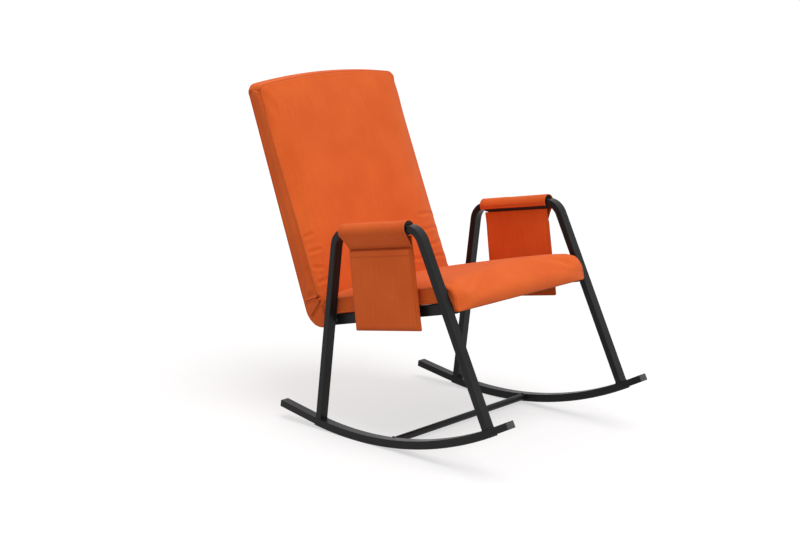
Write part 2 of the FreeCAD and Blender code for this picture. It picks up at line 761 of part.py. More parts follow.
panel_top = dims.ArmHeight - math.sqrt(sleeve_radius ** 2 - dims.PocketSet ** 2) - dims.WeldGap
above_mouth = [
    Vector(-2 * dims.PocketHalf, pocket_mouth, 0), Vector(2 * dims.PocketHalf, pocket_mouth, 0),
    Vector(2 * dims.PocketHalf, dims.ArmHeight, 0), Vector(-2 * dims.PocketHalf, dims.ArmHeight, 0)]
for side, sign in SIDES.items():
    start = sign * (side_frame - dims.PocketSet)
    back_panel = pocket_panel(start, 0.0, pocket_foot, panel_top, -sign * dims.SleeveThick)
    front = pocket_front(sign, 0.0).cut(pocket_front(sign, dims.SleeveThick))
    front = front.cut(prism(above_mouth, start - dims.PocketHalf, start + dims.PocketHalf))
    keep_shape(f"{side}_pocket", back_panel.fuse(front).removeSplitter())

# Checks of the model, and one file for each piece

doc.recompute()
for item in doc.Objects:
    if "Invalid" in item.State or "Error" in item.State:
        raise RuntimeError(f"{item.Label} did not build: {item.State}")
os.makedirs("parts", exist_ok=True)
for piece in pieces:
    shape = piece.Shape
    if shape.isNull() or not shape.isValid() or not shape.Solids:
        raise RuntimeError(f"{piece.Label} is not a sound solid")
    shape.exportStep(f"parts/{piece.Label}.step")
    print(f"{piece.Label}: {len(shape.Solids)} solid(s), {shape.Volume / 1000:.1f} cm3")
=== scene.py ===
import math

import bpy
import numpy as np
from mathutils import Matrix, Vector
from mathutils.kdtree import KDTree


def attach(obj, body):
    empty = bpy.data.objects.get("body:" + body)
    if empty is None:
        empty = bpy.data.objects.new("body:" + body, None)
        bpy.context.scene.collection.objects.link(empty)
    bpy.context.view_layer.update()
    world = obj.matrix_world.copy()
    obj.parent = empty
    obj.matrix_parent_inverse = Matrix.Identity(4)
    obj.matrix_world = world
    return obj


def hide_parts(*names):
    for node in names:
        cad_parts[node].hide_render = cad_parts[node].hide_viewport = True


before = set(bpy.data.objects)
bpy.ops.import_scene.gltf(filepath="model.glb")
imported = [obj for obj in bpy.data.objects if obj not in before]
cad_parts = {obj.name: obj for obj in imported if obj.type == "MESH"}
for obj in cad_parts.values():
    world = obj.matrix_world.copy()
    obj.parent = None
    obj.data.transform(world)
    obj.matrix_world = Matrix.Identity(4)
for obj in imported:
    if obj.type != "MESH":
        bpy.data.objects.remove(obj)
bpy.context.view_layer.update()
scene = bpy.context.scene

# Side frames
# Two hoops of box tube, each welded on a rocker of the same tube, and a round stretcher between the rockers.
# Mild steel, powder coated satin black after welding, so the weld beads carry the same coat.

ROCK_RADIUS = 1.123
SIDE_FRAME_X = 0.305
TUBE_WIDE = 0.030
TUBE_DEEP = 0.020
LEG_ANGLE = math.radians(16.75)
GLIDE_THICK = 0.003
STRETCHER_RADIUS = 0.010
STRETCHER_ANGLE = math.radians(2.5)
BEAD_PITCH = 0.0018
BEAD_LONG = 0.0032
LEG_BEAD_THICK = 0.0046
LEG_BEAD_OUT = 0.0008
LEG_BEAD_SUNK = 0.0004
LEG_BEAD_SHORT = 0.003
RING_BEAD_THICK = 0.0042
RING_BEAD_OUT = 0.0006
RING_STEPS = 24
LEANED = Matrix.Translation((0, 0, ROCK_RADIUS)) @ Matrix.Rotation(math.radians(-9.25), 4, "X")
LEANED = LEANED @ Matrix.Translation((0, 0, -ROCK_RADIUS))
SIDES = {"right": -1, "left": 1}


def add(tree, kind, values=None, **settings):
    """Adds a node, with its properties, and fills or links its inputs by name or number."""
    node = tree.nodes.new(kind)
    for name, value in settings.items():
        setattr(node, name, value)
    for name, value in (values or {}).items():
        if isinstance(value, bpy.types.NodeSocket):
            tree.links.new(value, node.inputs[name])
        else:
            node.inputs[name].default_value = value
    return node


def new_group(kind, name, inputs, outputs):
    """An empty node group with named sockets, and its input and output nodes."""
    group = bpy.data.node_groups.new(name, kind)
    for title, socket_type, value in inputs:
        socket = group.interface.new_socket(title, in_out="INPUT", socket_type=socket_type)
        if value is not None:
            socket.default_value = value
    for title, socket_type in outputs:
        group.interface.new_socket(title, in_out="OUTPUT", socket_type=socket_type)
    return group, group.nodes.new("NodeGroupInput"), group.nodes.new("NodeGroupOutput")


# Fine grain and large soft patches, which every coated, moulded or rubber surface here shows
surface_grain, grain_in, grain_out = new_group(
    "ShaderNodeTree", "surface_grain",
    [("Grain Size", "NodeSocketFloat", 0.001), ("Patch Size", "NodeSocketFloat", 0.08)],
    [("Grain", "NodeSocketFloat"), ("Patch", "NodeSocketFloat")])
place = add(surface_grain, "ShaderNodeTexCoord").outputs["Object"]
for title, detail in (("Grain", 2.0), ("Patch", 5.0)):
    size = grain_in.outputs[f"{title} Size"]
    scale = add(surface_grain, "ShaderNodeMath", {0: 1.0, 1: size}, operation="DIVIDE")
    cloud = add(surface_grain, "ShaderNodeTexNoise", {
        "Vector": place, "Scale": scale.outputs[0], "Detail": detail})
    surface_grain.links.new(cloud.outputs[0], grain_out.inputs[title])


def new_finish(name):
    """A material with its own Principled shader, ready for nodes."""
    material = bpy.data.materials.new(name)
    material.use_nodes = True
    return material, material.node_tree, material.node_tree.nodes["Principled BSDF"]


def between(tree, factor, first, second):
    """A colour from one to another, by a factor of the surface."""
    mix = add(tree, "ShaderNodeMix", {0: factor, 6: first, 7: second}, data_type="RGBA")
    return mix.outputs[2]


def spread(tree, value, low, high, from_low=0.3, from_high=0.7):
    """A value of the surface, stretched to a range of its own."""
    ends = {"Value": value, "From Min": from_low, "From Max": from_high, "To Min": low, "To Max": high}
    return add(tree, "ShaderNodeMapRange", ends).outputs[0]


def grained_finish(name, dark, light, rough, grain_size, patch_size, relief):
    """A plain finish with grain in its relief and patches in its colour and gloss."""
    material, tree, shader = new_finish(name)
    grain = add(tree, "ShaderNodeGroup", node_tree=surface_grain)
    grain.inputs["Grain Size"].default_value = grain_size
    grain.inputs["Patch Size"].default_value = patch_size
    patch = grain.outputs["Patch"]
    soft_patch = spread(tree, patch, 0.0, 1.0)
    tree.links.new(between(tree, soft_patch, (*dark, 1), (*light, 1)), shader.inputs["Base Color"])
    tree.links.new(spread(tree, patch, *rough), shader.inputs["Roughness"])
    bump = add(tree, "ShaderNodeBump", {
        "Height": grain.outputs["Grain"], "Strength": 0.6, "Distance": relief})
    tree.links.new(bump.outputs[0], shader.inputs["Normal"])
    return material


def paint(finish, *nodes):
    """Gives CAD nodes a finish."""
    for name in nodes:
        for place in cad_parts[name].material_slots:
            place.material = finish


powder_coat = grained_finish(
    "powder_coat", (0.008, 0.008, 0.009), (0.014, 0.014, 0.015), (0.30, 0.40), 0.0011, 0.09, 0.00012)
powder_coat.node_tree.nodes["Principled BSDF"].inputs["Specular IOR Level"].default_value = 0.18
paint(powder_coat, "right_hoop", "left_hoop", "right_rocker", "left_rocker", "stretcher")

# Small round lumps in a row along a path: weld ripples here, and thread further on
row_of_lumps, lumps_in, lumps_out = new_group(
    "GeometryNodeTree", "row_of_lumps",
    [("Path", "NodeSocketGeometry", None), ("Pitch", "NodeSocketFloat", 0.003),
     ("Long", "NodeSocketFloat", 0.002), ("Thick", "NodeSocketFloat", 0.001),
     ("Finish", "NodeSocketMaterial", None)],
    [("Row", "NodeSocketGeometry")])
spots = add(row_of_lumps, "GeometryNodeCurveToPoints",
            {"Curve": lumps_in.outputs["Path"], "Length": lumps_in.outputs["Pitch"]}, mode="LENGTH")
lump = add(row_of_lumps, "GeometryNodeMeshUVSphere", {"Segments": 6, "Rings": 4, "Radius": 0.5})
lump_size = add(row_of_lumps, "ShaderNodeCombineXYZ", {
    "X": lumps_in.outputs["Thick"], "Y": lumps_in.outputs["Thick"], "Z": lumps_in.outputs["Long"]})
lumps = add(row_of_lumps, "GeometryNodeInstanceOnPoints", {
    "Points": spots.outputs["Points"], "Instance": lump.outputs["Mesh"],
    "Rotation": spots.outputs["Rotation"], "Scale": lump_size.outputs[0]})
smooth_row = add(row_of_lumps, "GeometryNodeSetShadeSmooth", {
    "Geometry": add(row_of_lumps, "GeometryNodeRealizeInstances", {"Geometry": lumps.outputs[0]}).outputs[0]})
finished_row = add(row_of_lumps, "GeometryNodeSetMaterial", {
    "Geometry": smooth_row.outputs[0], "Material": lumps_in.outputs["Finish"]})
row_of_lumps.links.new(finished_row.outputs[0], lumps_out.inputs["Row"])


def lumps_along(name, paths, sizes, finish, closed=False):
    """A mesh of lumps along paths of points, with sizes for the pitch, the length and the thickness."""
    curve = bpy.data.curves.new(name, "CURVE")
    curve.dimensions = "3D"
    for path in paths:
        spline = curve.splines.new("POLY")
        spline.points.add(len(path) - 1)
        spline.points.foreach_set("co", np.column_stack([path, np.ones(len(path))]).ravel())
        spline.use_cyclic_u = closed
    carrier = bpy.data.objects.new(f"{name}_path", curve)
    scene.collection.objects.link(carrier)
    rows = carrier.modifiers.new("rows", "NODES")
    rows.node_group = row_of_lumps
    values = dict(zip(("Pitch", "Long", "Thick"), sizes), Finish=finish)
    for socket in row_of_lumps.interface.items_tree:
        if socket.in_out == "INPUT" and socket.name in values:
            rows[socket.identifier] = values[socket.name]
    bpy.context.view_layer.update()
    settled = carrier.evaluated_get(bpy.context.evaluated_depsgraph_get())
    mesh = bpy.data.meshes.new_from_object(settled)
    bpy.data.objects.remove(carrier)
    piece = bpy.data.objects.new(name, mesh)
    scene.collection.objects.link(piece)
    return piece


def to_floor(points):
    """Points of the level chair, leaned back to where the chair stands."""
    turn = np.array(LEANED)
    return np.asarray(points, float) @ turn[:3, :3].T + turn[:3, 3]


def to_level(points):
    """Points of the standing chair, turned back to the level one."""
    turn = np.array(LEANED)
    return points @ turn[:3, :3] - turn[:3, 3] @ turn[:3, :3]


def on_arc(radius, angle):
    """Backwards and up, at a radius of the rocker's arc and an angle behind its lowest point."""
    return radius * math.sin(angle), ROCK_RADIUS - radius * math.cos(angle)


rocker_top = ROCK_RADIUS - GLIDE_THICK - TUBE_DEEP
bead_paths = []
for sign in SIDES.values():
    for leg in (-LEG_ANGLE, LEG_ANGLE):
        for edge in (-1, 1):
            turn = leg + edge * (TUBE_DEEP / 2 + LEG_BEAD_OUT) / rocker_top
            ends = [sign * SIDE_FRAME_X - TUBE_WIDE / 2 + LEG_BEAD_SHORT,
                    sign * SIDE_FRAME_X + TUBE_WIDE / 2 - LEG_BEAD_SHORT]
            bead_paths.append(to_floor([(x, *on_arc(rocker_top - LEG_BEAD_SUNK, turn)) for x in ends]))
leg_beads = lumps_along("leg_welds", bead_paths, (BEAD_PITCH, BEAD_LONG, LEG_BEAD_THICK), powder_coat)
stretcher_back, stretcher_up = on_arc(rocker_top + TUBE_DEEP / 2, STRETCHER_ANGLE)
turns = np.linspace(0, 2 * math.pi, RING_STEPS, endpoint=False)
ring = np.column_stack([
    np.zeros(RING_STEPS), stretcher_back + (STRETCHER_RADIUS + RING_BEAD_OUT) * np.cos(turns),
    stretcher_up + (STRETCHER_RADIUS + RING_BEAD_OUT) * np.sin(turns)])
ring_x = SIDE_FRAME_X - TUBE_WIDE / 2 - RING_BEAD_OUT
rings = [to_floor(ring + (sign * ring_x, 0, 0)) for sign in SIDES.values()]
stretcher_beads = lumps_along(
    "stretcher_welds", rings, (BEAD_PITCH, BEAD_LONG, RING_BEAD_THICK), powder_coat, closed=True)
for beads in (leg_beads, stretcher_beads):
    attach(beads, "frame_and_seat")

# Glide strips
# A flat strip of matte black rubber under each rocker, from leg to leg, bonded to the tube. It spares the
# floor and quiets the roll, and its running face is a little dusty and dull.

strip_rubber = grained_finish(
    "strip_rubber", (0.022, 0.021, 0.021), (0.045, 0.044, 0.043), (0.72, 0.88), 0.0007, 0.05, 0.0002)
paint(strip_rubber, "right_glide_strip", "left_glide_strip")

# End plugs
# Moulded caps pushed into the four rocker ends. Black nylon with a fine spark-eroded grain, slightly paler
# than the coated tube.

plug_nylon = grained_finish(
    "plug_nylon", (0.035, 0.035, 0.037), (0.052, 0.052, 0.054), (0.48, 0.60), 0.0005, 0.02, 0.0001)
paint(plug_nylon, *[f"{side}_{end}_plug" for side in SIDES for end in ("front", "rear")])

# Seat and back frame
# A side tube on each side runs along the seat and bends up into the back, with a rail in front, behind and on
# top. It hangs between the legs on four zinc plated bolts through nylon spacers into rivet nuts.

paint(powder_coat, "right_side_tube", "left_side_tube", "front_rail", "rear_rail", "top_rail")
paint(plug_nylon, "frame_spacers")
zinc = grained_finish("zinc", (0.46, 0.46, 0.47), (0.62, 0.61, 0.58), (0.28, 0.42), 0.0004, 0.01, 0.00005)
zinc.node_tree.nodes["Principled BSDF"].inputs["Metallic"].default_value = 1.0
paint(zinc, "frame_bolts", "rivet_nuts")

# Webbing
# Flat black polypropylene straps pulled across the side tubes, five under the seat and five behind the back.
# They carry the foam and sag a little between the tubes.

SEAT_HEIGHT = 0.3716
SEAT_PITCH = math.radians(4)
SEAT_DEPTH = 0.324
BACK_RAKE = math.radians(11.3)
SIDE_TALL = 0.030
RAIL_OUTER = 0.2815
RAIL_INNER = 0.2615
STRAP_WIDE = 0.050
STRAP_THICK = 0.0016
STRAP_SAG = 0.002
CONTACT_GAP = 0.0001
SEAT_STRAPS = np.linspace(-0.165, 0.205, 5)
BACK_STRAPS = np.linspace(0.130, 0.590, 5)
# Painted shade along rows of stitches: its strength and its width
STITCH_SHADE = 0.55
STITCH_WIDTH = 0.0017
SEAT_ALONG = np.array([math.cos(SEAT_PITCH), -math.sin(SEAT_PITCH)])
SEAT_ABOVE = np.array([math.sin(SEAT_PITCH), math.cos(SEAT_PITCH)])
BACK_ALONG = np.array([math.sin(BACK_RAKE), math.cos(BACK_RAKE)])
BACK_AHEAD = np.array([-math.cos(BACK_RAKE), math.sin(BACK_RAKE)])


def on_seat(back, up):
    """Backwards and up in the level chair, from a place along and above the seat's side tubes."""
    middle = np.array([0, SEAT_HEIGHT])
    return middle + np.multiply.outer(back, SEAT_ALONG) + np.multiply.outer(up, SEAT_ABOVE)


def on_back(up, forward):
    """Backwards and up in the level chair, from a place along and in front of the uprights."""
    corner = on_seat(SEAT_DEPTH, 0.0)
    return corner + np.multiply.outer(up, BACK_ALONG) + np.multiply.outer(forward, BACK_AHEAD)


def walled_panels(name, panels):
    """A mesh of cloth panels with a real thickness, each from an outer and an inner grid and marks of painted
    seam shade.
    """
    points, faces, cloth_places, marks = [], [], [], []
    for outer, inner, painted_shade in panels:
        rows, columns = outer.shape[:2]
        marks += list(np.broadcast_to(painted_shade, (rows, columns)).ravel()) * 2
        first = len(points)
        points += [tuple(p) for grid in (outer, inner) for p in grid.reshape(-1, 3)]
        along = np.insert(np.cumsum(np.linalg.norm(np.diff(outer, axis=0), axis=2).mean(1)), 0, 0.0)
        across = np.insert(np.cumsum(np.linalg.norm(np.diff(outer, axis=1), axis=2).mean(0)), 0, 0.0)
        uv = [(u, v) for v in along for u in across]
        cloth_places += uv + uv
        under = rows * columns
        at = np.arange(first, first + under).reshape(rows, columns)
        quads = np.stack([at[:-1, :-1], at[:-1, 1:], at[1:, 1:], at[1:, :-1]], axis=2)
        for quad in quads.reshape(-1, 4).tolist():
            faces.append(tuple(quad))
            faces.append(tuple(i + under for i in reversed(quad)))
        rim = np.concatenate([at[0], at[1:, -1], at[-1, -2::-1], at[-2:0:-1, 0]]).tolist()
        for a, b in zip(rim, rim[1:] + rim[:1]):
            faces.append((b, a, a + under, b + under))
    piece = cloth_mesh(name, points, faces, cloth_places)
    piece.data.attributes.new("painted_shade", "FLOAT", "POINT").data.foreach_set("value", np.array(marks, float))
    return piece


def stitch_shade(away):
    """How dark the painted shade along a row of stitches is, at a distance from it."""
    return STITCH_SHADE * np.exp(-(away / STITCH_WIDTH) ** 2)


def cloth_mesh(name, points, faces, cloth_places):
    """An object in the leaned chair from points of the level chair, with its cloth's own places as UV."""
    mesh = bpy.data.meshes.new(name)
    mesh.from_pydata([tuple(p) for p in to_floor(points)], [], faces)
    layer = mesh.uv_layers.new(name="cloth")
    corners = np.zeros(len(mesh.loops), int)
    mesh.loops.foreach_get("vertex_index", corners)
    layer.data.foreach_set("uv", np.asarray(cloth_places, float)[corners].ravel())
    mesh.polygons.foreach_set("use_smooth", [True] * len(mesh.polygons))
    piece = bpy.data.objects.new(name, mesh)
    scene.collection.objects.link(piece)
    return piece


# A plain weave: warp and weft threads that pass over each other in turn, and streaks along the threads
woven_threads, weave_in, weave_out = new_group(
    "ShaderNodeTree", "woven_threads",
    [("Thread", "NodeSocketFloat", 0.0012)],
    [("Height", "NodeSocketFloat"), ("Streak", "NodeSocketFloat"), ("Fade", "NodeSocketFloat"),
     ("Pucker", "NodeSocketFloat")])
cloth_place = add(woven_threads, "ShaderNodeUVMap", uv_map="cloth").outputs[0]


def weave_sum(operation, *values):
    """A sum on the weave's values."""
    return add(woven_threads, "ShaderNodeMath", dict(enumerate(values)), operation=operation).outputs[0]


thread_count = add(woven_threads, "ShaderNodeVectorMath", {0: cloth_place}, operation="SCALE")
woven_threads.links.new(weave_sum("DIVIDE", 1.0, weave_in.outputs["Thread"]), thread_count.inputs["Scale"])
count = add(woven_threads, "ShaderNodeSeparateXYZ", {0: thread_count.outputs[0]})
swells = {}
for axis in "XY":
    wave = weave_sum("SINE", weave_sum("MULTIPLY", count.outputs[axis], math.pi))
    swells[axis] = weave_sum("ABSOLUTE", wave)
turn_count = weave_sum("ADD", weave_sum("FLOOR", count.outputs["X"]), weave_sum("FLOOR", count.outputs["Y"]))
over = weave_sum("FLOORED_MODULO", turn_count, 2.0)
lifts = {}
for axis, other in (("X", "Y"), ("Y", "X")):
    arch = weave_sum("MULTIPLY_ADD", swells[other], 0.45, 0.55)
    lifts[axis] = weave_sum("MULTIPLY", swells[axis], arch)
thread_height = add(woven_threads, "ShaderNodeMix", {0: over, 2: lifts["X"], 3: lifts["Y"]}).outputs[0]
woven_threads.links.new(thread_height, weave_out.inputs["Height"])
for title, stretch, detail in (("Streak", (700.0, 9.0, 1.0), 2.0), ("Fade", (7.0, 7.0, 1.0), 4.0),
                               ("Pucker", (22.0, 105.0, 1.0), 1.0)):
    stretched = add(woven_threads, "ShaderNodeVectorMath", {0: cloth_place, 1: stretch}, operation="MULTIPLY")
    noise = add(woven_threads, "ShaderNodeTexNoise", {
        "Vector": stretched.outputs[0], "Scale": 1.0, "Detail": detail})
    woven_threads.links.new(noise.outputs[0], weave_out.inputs[title])


def woven_finish(name, dark, light, thread, relief, seam_shade=None):
    """A woven cloth: thread relief, streaky threads, soft fading, and painted shade where the cloth is drawn
    into its seams and folds.
    """
    material, tree, shader = new_finish(name)
    weave = add(tree, "ShaderNodeGroup", node_tree=woven_threads)
    weave.inputs["Thread"].default_value = thread
    tone = add(tree, "ShaderNodeMath", {
        0: weave.outputs["Streak"], 1: weave.outputs["Fade"]}, operation="ADD")
    threads = between(tree, spread(tree, tone.outputs[0], 0.0, 1.0, 0.7, 1.3), (*dark, 1), (*light, 1))
    # Painted shade in the hollows between the threads: the low parts of the weave are mixed towards a darker
    # copy of the dark colour
    hollow = spread(tree, weave.outputs["Height"], 0.25, 0.0, 0.0, 0.6)
    cloth = between(tree, hollow, threads, (*[c * 0.55 for c in dark], 1))
    # Painted shade: cloth marked as drawn into a seam or fold is mixed towards the darker seam shade colour
    if seam_shade:
        painted_shade = add(tree, "ShaderNodeAttribute", attribute_name="painted_shade").outputs["Fac"]
        cloth = between(tree, spread(tree, painted_shade, 0.0, 0.6, 0.1, 1.0), cloth, (*seam_shade, 1))
    tree.links.new(cloth, shader.inputs["Base Color"])
    tree.links.new(spread(tree, weave.outputs["Streak"], 0.74, 0.92), shader.inputs["Roughness"])
    shader.inputs["Specular IOR Level"].default_value = 0.30
    shader.inputs["Sheen Weight"].default_value = 0.10
    shader.inputs["Sheen Roughness"].default_value = 0.45
    shader.inputs["Sheen Tint"].default_value = (1.0, 0.80, 0.66, 1)
    bump = add(tree, "ShaderNodeBump", {
        "Height": weave.outputs["Height"], "Strength": 0.5, "Distance": relief})
    if seam_shade:
        gathered = add(tree, "ShaderNodeAttribute", attribute_name="gathered").outputs["Fac"]
        folds = add(tree, "ShaderNodeMath", {0: weave.outputs["Pucker"], 1: gathered}, operation="MULTIPLY")
        bump = add(tree, "ShaderNodeBump", {
            "Height": folds.outputs[0], "Strength": 0.7, "Distance": 0.0020, "Normal": bump.outputs[0]})
    tree.links.new(bump.outputs[0], shader.inputs["Normal"])
    return material


strap_weave = woven_finish("strap_weave", (0.018, 0.018, 0.019), (0.040, 0.040, 0.041), 0.0022, 0.0006)


def strap_grids(place, middle):
    """One strap's upper and lower side: it sags between the tubes, and its edges are a little rounded."""
    xs = np.linspace(-RAIL_OUTER, RAIL_OUTER, 61)
    edges = np.linspace(-1, 1, 13)
    sag = STRAP_SAG * np.clip(1 - (xs / RAIL_INNER) ** 2, 0, None)
    face = SIDE_TALL / 2 + CONTACT_GAP
    grids = []
    for share in (1, 0):
        rounding = 0.5 + (share - 0.5) * np.sqrt(np.clip(1.04 - edges ** 8, 0.04, 1))
        grid = np.zeros((len(xs), len(edges), 3))
        for row, x in enumerate(xs):
            across = middle + edges * STRAP_WIDE / 2
            grid[row, :, 0] = x
            grid[row, :, 1:] = place(across, face + STRAP_THICK * rounding - sag[row])
        grids.append(grid)
    return [*grids, 0.0]


for name, place, middles in (("seat", on_seat, SEAT_STRAPS), ("back", on_back, BACK_STRAPS)):
    straps = walled_panels(f"{name}_straps", [strap_grids(place, middle) for middle in middles])
    straps.data.materials.append(strap_weave)
    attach(straps, "frame_and_seat")
    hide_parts(f"{name}_webbing")

# Seat cushion
# A foam slab in a sewn cover of orange woven outdoor cloth, boxed at the sides, with a rounded nose whose lip
# hooks over the front of the frame. The cover is pulled tight and swells between its seams.

CLOTH_DARK = (0.720, 0.101, 0.009)
CLOTH_LIGHT = (0.850, 0.150, 0.020)
SEAM_SHADE = (0.300, 0.030, 0.006)
SEAT_HALF = 0.285
SEAT_SHOULDER = 0.042
SEAT_CROWN = 0.012
SEAT_THICK = 0.045
SEAT_FRONT = -0.246
FRONT_DRAWN_BACK = 0.008
LIP_BACK = -0.2314
LIP_LOW = -0.011
LIP_HELD = -0.2330
HELD_REACH = 0.0015
SEAT_END = 0.262
NOSE_ROUND = 0.040
SEAT_REAR_ROUND = 0.012
LIP_ROUND = 0.0035
TURNED_ROUND = 0.0025
SEAT_BASE = SIDE_TALL / 2 + CONTACT_GAP + STRAP_THICK + 0.0004
BACK_HALF = 0.287
BACK_REAR = SIDE_TALL / 2 + 0.002 + 0.0012
BACK_SEAM = 0.050 - BACK_REAR
BACK_CROWN = 0.032
CREASE_UP = 0.066
SHOULDER_STEPS = 10
STATION_PITCH = 0.007
NARROW_PANEL = 0.04
SWELL_FRAMES = 20
ROLL_AWAY = 2.2
GATHER_REACH = 0.026
orange_cloth = woven_finish("orange_cloth", CLOTH_DARK, CLOTH_LIGHT, 0.0013, 0.0005, SEAM_SHADE)
orange_thread, thread_tree, thread_shader = new_finish("orange_thread")
twist = add(thread_tree, "ShaderNodeTexWave", {
    "Vector": add(thread_tree, "ShaderNodeTexCoord").outputs["Object"], "Scale": 600.0, "Distortion": 3.0})
thread_tree.links.new(
    between(thread_tree, twist.outputs[1], (0.50, 0.070, 0.014, 1), (0.70, 0.120, 0.030, 1)),
    thread_shader.inputs["Base Color"])
thread_shader.inputs["Roughness"].default_value = 0.6


def swell(depth, reach):
    """0 at the sewn side and 1 from a reach inside it, along a quarter of a circle."""
    return math.sqrt(1 - max(0.0, 1 - depth / reach) ** 2)


def meeting(first, first_to, second, second_to):
    """Where two lines of the side view meet, each given by two points."""
    along, other, apart = first_to - first, second_to - second, second - first
    share = (apart[0] * other[1] - apart[1] * other[0]) / (along[0] * other[1] - along[1] * other[0])
    return first + along * share


def back_front_line():
    """The lower front of the back's cover, from the frame up to the crease."""
    return on_seat(SEAT_END, -BACK_REAR), on_back(CREASE_UP, BACK_SEAM + BACK_CROWN)


def seat_outline(depth, fullness):
    """The seat's side view at a depth from its sewn side: corners and their roundings."""
    full = swell(depth, SEAT_SHOULDER)
    top = SEAT_BASE + SEAT_THICK + SEAT_CROWN * full * fullness
    front = SEAT_FRONT + FRONT_DRAWN_BACK * (1 - full)
    line = back_front_line()
    rear_low = meeting(on_seat(0, SEAT_BASE), on_seat(1, SEAT_BASE), *line)
    rear_high = meeting(on_seat(0, top), on_seat(1, top), *line)
    gap = on_seat(-0.0004, 0) - on_seat(0, 0)
    corners = [rear_high + gap, on_seat(front, top), on_seat(front, LIP_LOW), on_seat(LIP_BACK, LIP_LOW),
               on_seat(LIP_BACK, SEAT_BASE), rear_low + gap]
    return corners, [SEAT_REAR_ROUND, NOSE_ROUND, LIP_ROUND, TURNED_ROUND, TURNED_ROUND, TURNED_ROUND]


def rounded_ring(corners, radii, steps=None, fine=0.004, coarse=0.006):
    """Points round a closed outline with rounded corners, and the steps on each arc and run between them."""
    count = len(corners)
    arcs = []
    for i, (corner, radius) in enumerate(zip(corners, radii)):
        back = corners[i - 1] - corner
        ahead = corners[(i + 1) % count] - corner
        back, ahead = back / np.linalg.norm(back), ahead / np.linalg.norm(ahead)
        half = math.acos(np.clip(back @ ahead, -1, 1)) / 2
        inward = (back + ahead) / np.linalg.norm(back + ahead)
        centre = corner + inward * radius / math.sin(half)
        slope = math.tan(half)
        arcs.append((centre, corner + back * radius / slope, corner + ahead * radius / slope))
    if steps is None:
        steps = []
        for i, (centre, first, last) in enumerate(arcs):
            turn = 2 * math.asin(min(1, np.linalg.norm(last - first) / 2 / radii[i]))
            run = np.linalg.norm(arcs[(i + 1) % count][1] - last)
            steps.append((max(2, round(radii[i] * turn / fine)), max(1, round(run / coarse))))
    points, middles = [], []
    for i, ((centre, first, last), (arc_steps, run_steps)) in enumerate(zip(arcs, steps)):
        middles.append(len(points) + arc_steps // 2)
        a, b = first - centre, last - centre
        turn = math.atan2(a[0] * b[1] - a[1] * b[0], a @ b)
        for k in range(arc_steps):
            c, s = math.cos(turn * k / arc_steps), math.sin(turn * k / arc_steps)
            points.append(centre + np.array([a[0] * c - a[1] * s, a[0] * s + a[1] * c]))
        following = arcs[(i + 1) % count][1]
        points += [last + (following - last) * k / run_steps for k in range(run_steps)]
    return np.array(points), steps, middles


def sewn_form(name, outline_at, half, reach, fullness, panel_bulge, tip, columns=14):
    """A closed cushion skin: side-view rings from side to side and a boxed panel at each side.

    A panel's rows start halfway between the corner numbered tip and the next one."""
    turns = [reach * (1 - math.cos(math.radians(90) * i / SHOULDER_STEPS)) for i in range(SHOULDER_STEPS)]
    flats = np.linspace(reach, half, round((half - reach) / STATION_PITCH) + 1)
    depths = np.concatenate([turns, flats])
    stations = [(-1, d) for d in depths] + [(1, d) for d in depths[-2::-1]]
    middle_ring, steps, middles = rounded_ring(*outline_at(half, fullness))
    size = len(middle_ring)
    lengths = np.linalg.norm(np.roll(middle_ring, -1, axis=0) - middle_ring, axis=1)
    round_places = np.insert(np.cumsum(lengths), 0, 0.0)
    points, faces, corner_places = [], [], []
    for sign, depth in stations:
        ring = rounded_ring(*outline_at(depth, fullness), steps=steps)[0]
        points += [(sign * (half - depth), *p) for p in ring]

    def at(station, place):
        return station * size + place % size

    def add_face(corners, places):
        faces.append(corners)
        corner_places.extend(places)

    for s in range(len(stations) - 1):
        x, next_x = points[at(s, 0)][0], points[at(s + 1, 0)][0]
        for i in range(size):
            low, high = round_places[i], round_places[i + 1]
            add_face((at(s, i), at(s, i + 1), at(s + 1, i + 1), at(s + 1, i)),
                     ((x, low), (x, high), (next_x, high), (next_x, low)))
    ahead = (middles[tip + 1] - middles[tip]) % size
    start = (middles[tip] + ahead // 2) % size
    for station, sign in ((0, -1), (len(stations) - 1, 1)):
        rungs = []
        for k in range(1, size // 2):
            a, b = at(station, start + k), at(station, start - k)
            rung = [a]
            ends = np.array(points[a]), np.array(points[b])
            span = np.linalg.norm(ends[1] - ends[0])
            for m in range(1, columns):
                swelling = panel_bulge * min(1, span / NARROW_PANEL) * math.sin(math.pi * m / columns)
                spot = ends[0] + (ends[1] - ends[0]) * m / columns
                points.append(tuple(spot + np.array([sign * swelling, 0, 0])))
                rung.append(len(points) - 1)
            rungs.append(rung + [b])
        tips = [at(station, start), at(station, start + size // 2)]
        first_tip, last_tip = [[end] * (columns + 1) for end in tips]
        for first, second in zip([first_tip] + rungs, rungs + [last_tip]):
            for m in range(columns):
                loop = [first[m], first[m + 1], second[m + 1], second[m]]
                loop = [v for n, v in enumerate(loop) if v not in loop[:n]]
                loop = loop[::sign]
                add_face(tuple(loop), tuple((points[v][1], points[v][2]) for v in loop))
    piece = cloth_mesh(name, points, faces, np.zeros((len(points), 2)))
    piece.data.uv_layers["cloth"].data.foreach_set("uv", np.array(corner_places, float).ravel())
    return piece, len(stations), size, middles


def where(piece):
    """The piece's points as an array."""
    points = np.zeros(len(piece.data.vertices) * 3)
    piece.data.vertices.foreach_get("co", points)
    return points.reshape(-1, 3)


